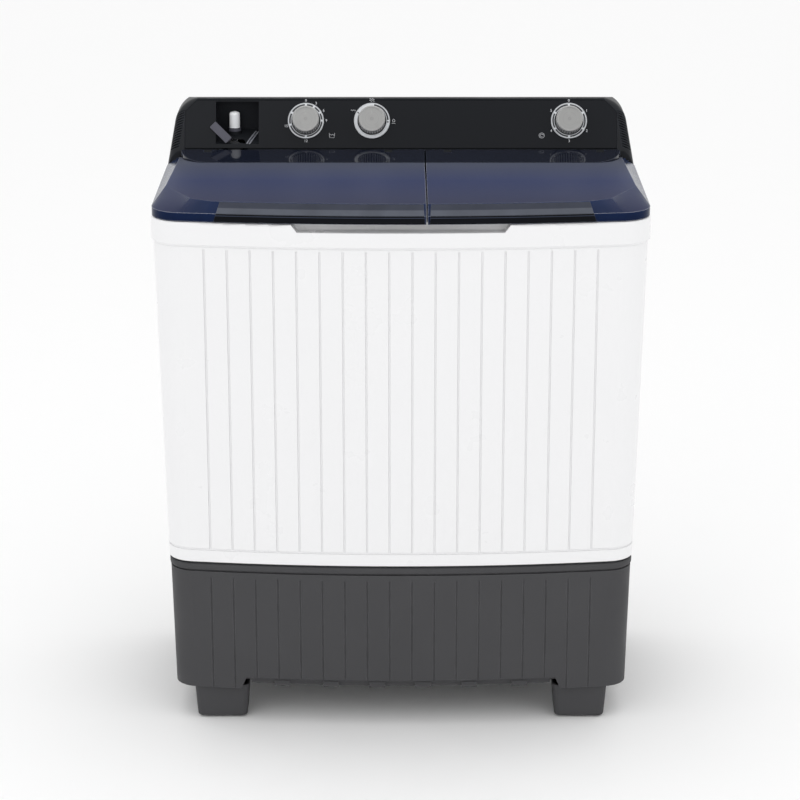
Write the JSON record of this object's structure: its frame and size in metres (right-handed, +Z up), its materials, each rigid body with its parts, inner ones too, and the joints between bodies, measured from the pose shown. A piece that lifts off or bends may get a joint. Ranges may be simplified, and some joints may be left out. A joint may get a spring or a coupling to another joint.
{
  "type": "twin tub washer",
  "caption": "Semi-automatic washer with a wash tub and a spin basket side by side, two see-through lids, a rear console with dials and a dark base on legs.",
  "frame": {"origin": "middle of the footprint at floor level", "axes": "+X to the right of someone facing the controls, +Y from the front to the back, +Z up"},
  "size_m": [0.755, 0.456, 0.929],
  "materials": {
    "white_shell": "satin moulded white",
    "dark_shell": "fine matt charcoal",
    "rubber": "matt",
    "grey_metal": "powder coated",
    "steel": "bright zinc",
    "console_shell": "fine matt black",
    "console_gloss": "gloss black",
    "white_fitting": "gloss",
    "grey_fitting": "satin grey",
    "dial_silver": "brushed silver",
    "dial_scale": "printed scale ring",
    "switch_case": "moulded cream",
    "tub": "gloss moulded",
    "lid_tint": "smoky blue, see-through",
    "inner_lid_tint": "frosted",
    "agitator": "gloss blue",
    "motor_case": "black enamel",
    "alloy": "die cast",
    "basket": "stainless",
    "grey_pipe": "moulded",
    "cable": "matt sleeve"
  },
  "bodies": {
    "root": {"base": "dark_shell", "base_tray": "dark_shell", "brake_cable": "cable", "cabinet": "white_shell", "cable_gland": "console_shell", "console_cheeks": "console_shell", "console_fascia": "console_gloss", "console_housing": "console_shell", "dial_bezels": "dial_scale", "drain_pipes": "grey_pipe", "drain_valve_body": "grey_pipe", "drive_belt": "rubber", "drive_plate": "grey_metal", "feet": "dark_shell", "foot_pads": "rubber", "gearbox": "alloy", "inlet_collar": "grey_fitting", "inlet_pocket": "console_shell", "inlet_spout": "white_fitting", "inner_lid_hinge": "white_fitting", "lid_hinge_brackets": "console_shell", "lid_hinge_pins": "steel", "lint_filter": "agitator", "mode_switch": "switch_case", "pulsator_seal": "rubber", "rear_panel": "grey_metal", "rear_panel_screws": "steel", "run_capacitors": "alloy", "spin_chamber": "tub", "spin_motor": "alloy", "spin_motor_mounts": "rubber", "spin_seal": "rubber", "timer_switches": "switch_case", "top_frame": "white_shell", "wash_motor": "motor_case", "wash_tub": "tub", "water_trough": "tub", "wiring_harness": "cable"},
    "wash_lid": {"wash_lid": "lid_tint", "wash_lid_cap": "console_gloss", "wash_lid_handle": "console_gloss"},
    "spin_lid": {"spin_lid": "lid_tint", "spin_lid_cap": "console_gloss", "spin_lid_handle": "console_gloss"},
    "inner_lid": {"spin_inner_lid": "inner_lid_tint"},
    "wash_timer": {"wash_timer_knob": "dial_silver"},
    "wash_mode": {"wash_mode_knob": "dial_silver"},
    "spin_timer": {"spin_timer_knob": "dial_silver"},
    "selector": {"water_selector": "grey_fitting", "selector_chute": "grey_fitting"},
    "agitator": {"pulsator": "agitator", "pulsator_shaft": "steel", "pulsator_screw": "steel"},
    "gearbox_input": {"gearbox_pulley": "alloy"},
    "motor_rotor": {"motor_pulley": "alloy"},
    "spinner": {"spin_basket": "basket", "spin_shaft": "steel", "brake_drum": "alloy"},
    "brake": {"brake_lever": "grey_metal"},
    "drain_stopper": {"drain_plunger": "rubber"}
  },
  "joints": [
    {"name": "wash_lid_hinge", "type": "hinge", "parent": "root", "child": "wash_lid", "pos_m": [0, 0.135, 0.84689], "axis": [-1, 0, 0], "range_deg": [0, 92]},
    {"name": "spin_lid_hinge", "type": "hinge", "parent": "root", "child": "spin_lid", "pos_m": [0, 0.135, 0.84689], "axis": [-1, 0, 0], "range_deg": [0, 92]},
    {"name": "inner_lid_hinge", "type": "hinge", "parent": "root", "child": "inner_lid", "pos_m": [0.206, 0.095, 0.82], "axis": [-1, 0, 0], "range_deg": [0, 82.8]},
    {"name": "wash_timer_turn", "type": "hinge", "parent": "root", "child": "wash_timer", "pos_m": [-0.153, 0.16292, 0.8949], "axis": [0, 0.9272, -0.3746], "range_deg": [0, 300]},
    {"name": "wash_mode_turn", "type": "hinge", "parent": "root", "child": "wash_mode", "pos_m": [-0.0465, 0.16292, 0.8949], "axis": [0, 0.9272, -0.3746], "range_deg": [-60, 95]},
    {"name": "spin_timer_turn", "type": "hinge", "parent": "root", "child": "spin_timer", "pos_m": [0.271, 0.16292, 0.8949], "axis": [0, 0.9272, -0.3746], "range_deg": [0, 300]},
    {"name": "selector_swing", "type": "hinge", "parent": "root", "child": "selector", "pos_m": [-0.267, 0.147, 0.8555], "axis": [0, 0.9272, -0.3746], "range_deg": [0, 90]},
    {"name": "agitator_turn", "type": "hinge", "parent": "root", "child": "agitator", "pos_m": [-0.164, -0.043, 0.36], "axis": [0, 0, 1], "continuous": true},
    {"name": "gearbox_pulley_turn", "type": "hinge", "parent": "root", "child": "gearbox_input", "pos_m": [-0.164, -0.043, 0.197], "axis": [0, 0, 1], "continuous": true},
    {"name": "motor_pulley_turn", "type": "hinge", "parent": "root", "child": "motor_rotor", "pos_m": [-0.014, -0.043, 0.197], "axis": [0, 0, 1], "continuous": true},
    {"name": "spinner_turn", "type": "hinge", "parent": "root", "child": "spinner", "pos_m": [0.206, -0.05, 0.43], "axis": [0, 0, 1], "continuous": true},
    {"name": "brake_lever_pivot", "type": "hinge", "parent": "root", "child": "brake", "pos_m": [0.262, -0.004, 0.274], "axis": [0, 0, -1], "range_deg": [0, 5.52]},
    {"name": "drain_stopper_slide", "type": "slide", "parent": "root", "child": "drain_stopper", "axis": [0, 0, -1], "range_m": [0, 0.012], "stiffness_N_per_m": 400, "springref_m": -0.004}
  ],
  "couplings": [
    {"joint": "inner_lid_hinge", "follows": "spin_lid_hinge", "ratio": 0.9},
    {"joint": "brake_lever_pivot", "follows": "spin_lid_hinge", "ratio": 0.06},
    {"joint": "gearbox_pulley_turn", "follows": "agitator_turn", "ratio": 4},
    {"joint": "motor_pulley_turn", "follows": "agitator_turn", "ratio": 19.077}
  ]
}
